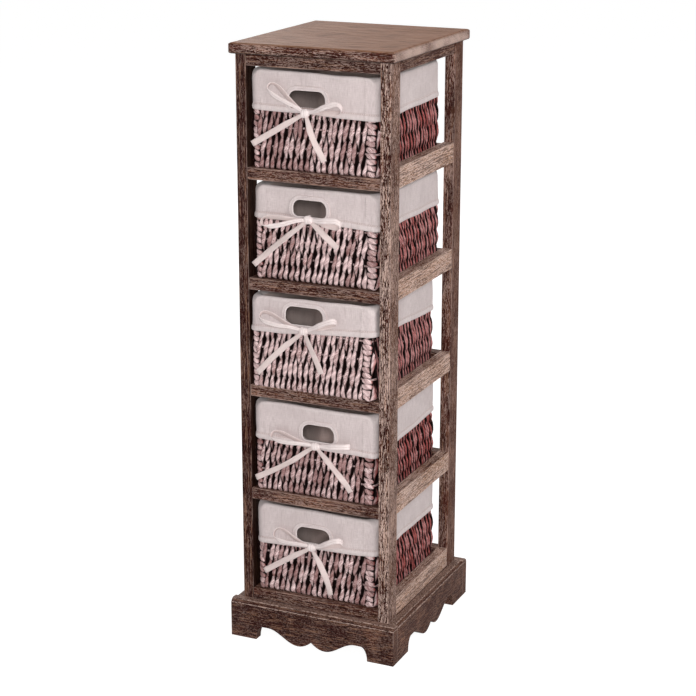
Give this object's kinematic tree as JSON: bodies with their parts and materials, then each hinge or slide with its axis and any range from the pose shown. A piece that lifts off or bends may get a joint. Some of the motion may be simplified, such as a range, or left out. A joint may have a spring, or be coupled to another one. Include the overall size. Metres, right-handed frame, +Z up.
{
  "type": "basket shelf unit",
  "caption": "Tall narrow shelf unit: brown wooden post-and-rail frame on a scalloped plinth, with woven pull-out baskets that have cloth liners, grip holes and tape bows.",
  "frame": {"origin": "on the floor, under the middle of the unit's outer box", "axes": "+Z up, the baskets' fronts and their bows face -Y, +X to the right seen from the front"},
  "size_m": [0.268, 0.296, 0.9],
  "materials": {
    "frame_wood": "brown stain, brushed open grain with pale lime in the pores, matt wax",
    "top_wood": "lighter brown stain, fine straight grain, smooth matt wax",
    "panel_wood": "brown stained thin panel, matt",
    "dowel_wood": "plain beech",
    "screw_steel": "zinc plated",
    "frame_wire": "drawn wire",
    "husk_weave": "twisted dry plant fibre, mauve brown, half matt",
    "liner_cloth": "slubby undyed cotton",
    "bow_tape": "folded cotton tape"
  },
  "bodies": {
    "frame": {"top_board": "top_wood", "post_front_left": "frame_wood", "post_front_right": "frame_wood", "post_rear_left": "frame_wood", "post_rear_right": "frame_wood", "apron_front": "frame_wood", "apron_rear": "frame_wood", "apron_left": "frame_wood", "apron_right": "frame_wood", "front_rail_1": "frame_wood", "rear_rail_1": "frame_wood", "left_rail_1": "frame_wood", "right_rail_1": "frame_wood", "shelf_panel_1": "panel_wood", "front_rail_2": "frame_wood", "rear_rail_2": "frame_wood", "left_rail_2": "frame_wood", "right_rail_2": "frame_wood", "shelf_panel_2": "panel_wood", "front_rail_3": "frame_wood", "rear_rail_3": "frame_wood", "left_rail_3": "frame_wood", "right_rail_3": "frame_wood", "shelf_panel_3": "panel_wood", "front_rail_4": "frame_wood", "rear_rail_4": "frame_wood", "left_rail_4": "frame_wood", "right_rail_4": "frame_wood", "shelf_panel_4": "panel_wood", "front_rail_5": "frame_wood", "rear_rail_5": "frame_wood", "left_rail_5": "frame_wood", "right_rail_5": "frame_wood", "shelf_panel_5": "panel_wood", "plinth_front": "frame_wood", "plinth_rear": "frame_wood", "plinth_left": "frame_wood", "plinth_right": "frame_wood", "dowels": "dowel_wood", "screws": "screw_steel"},
    "basket_1": {"basket_1_weave": "husk_weave", "basket_1_wire": "frame_wire", "basket_1_liner": "liner_cloth", "basket_1_bow": "bow_tape"},
    "basket_2": {"basket_2_weave": "husk_weave", "basket_2_wire": "frame_wire", "basket_2_liner": "liner_cloth", "basket_2_bow": "bow_tape"},
    "basket_3": {"basket_3_weave": "husk_weave", "basket_3_wire": "frame_wire", "basket_3_liner": "liner_cloth", "basket_3_bow": "bow_tape"},
    "basket_4": {"basket_4_weave": "husk_weave", "basket_4_wire": "frame_wire", "basket_4_liner": "liner_cloth", "basket_4_bow": "bow_tape"},
    "basket_5": {"basket_5_weave": "husk_weave", "basket_5_wire": "frame_wire", "basket_5_liner": "liner_cloth", "basket_5_bow": "bow_tape"}
  },
  "joints": [
    {"name": "basket_1_slide", "type": "slide", "parent": "frame", "child": "basket_1", "axis": [0, -1, 0], "range_m": [-0.001, 0.235]},
    {"name": "basket_2_slide", "type": "slide", "parent": "frame", "child": "basket_2", "axis": [0, -1, 0], "range_m": [0, 0.236]},
    {"name": "basket_3_slide", "type": "slide", "parent": "frame", "child": "basket_3", "axis": [0, -1, 0], "range_m": [-0.008, 0.228]},
    {"name": "basket_4_slide", "type": "slide", "parent": "frame", "child": "basket_4", "axis": [0, -1, 0], "range_m": [-0.002, 0.234]},
    {"name": "basket_5_slide", "type": "slide", "parent": "frame", "child": "basket_5", "axis": [0, -1, 0], "range_m": [0, 0.236]}
  ]
}
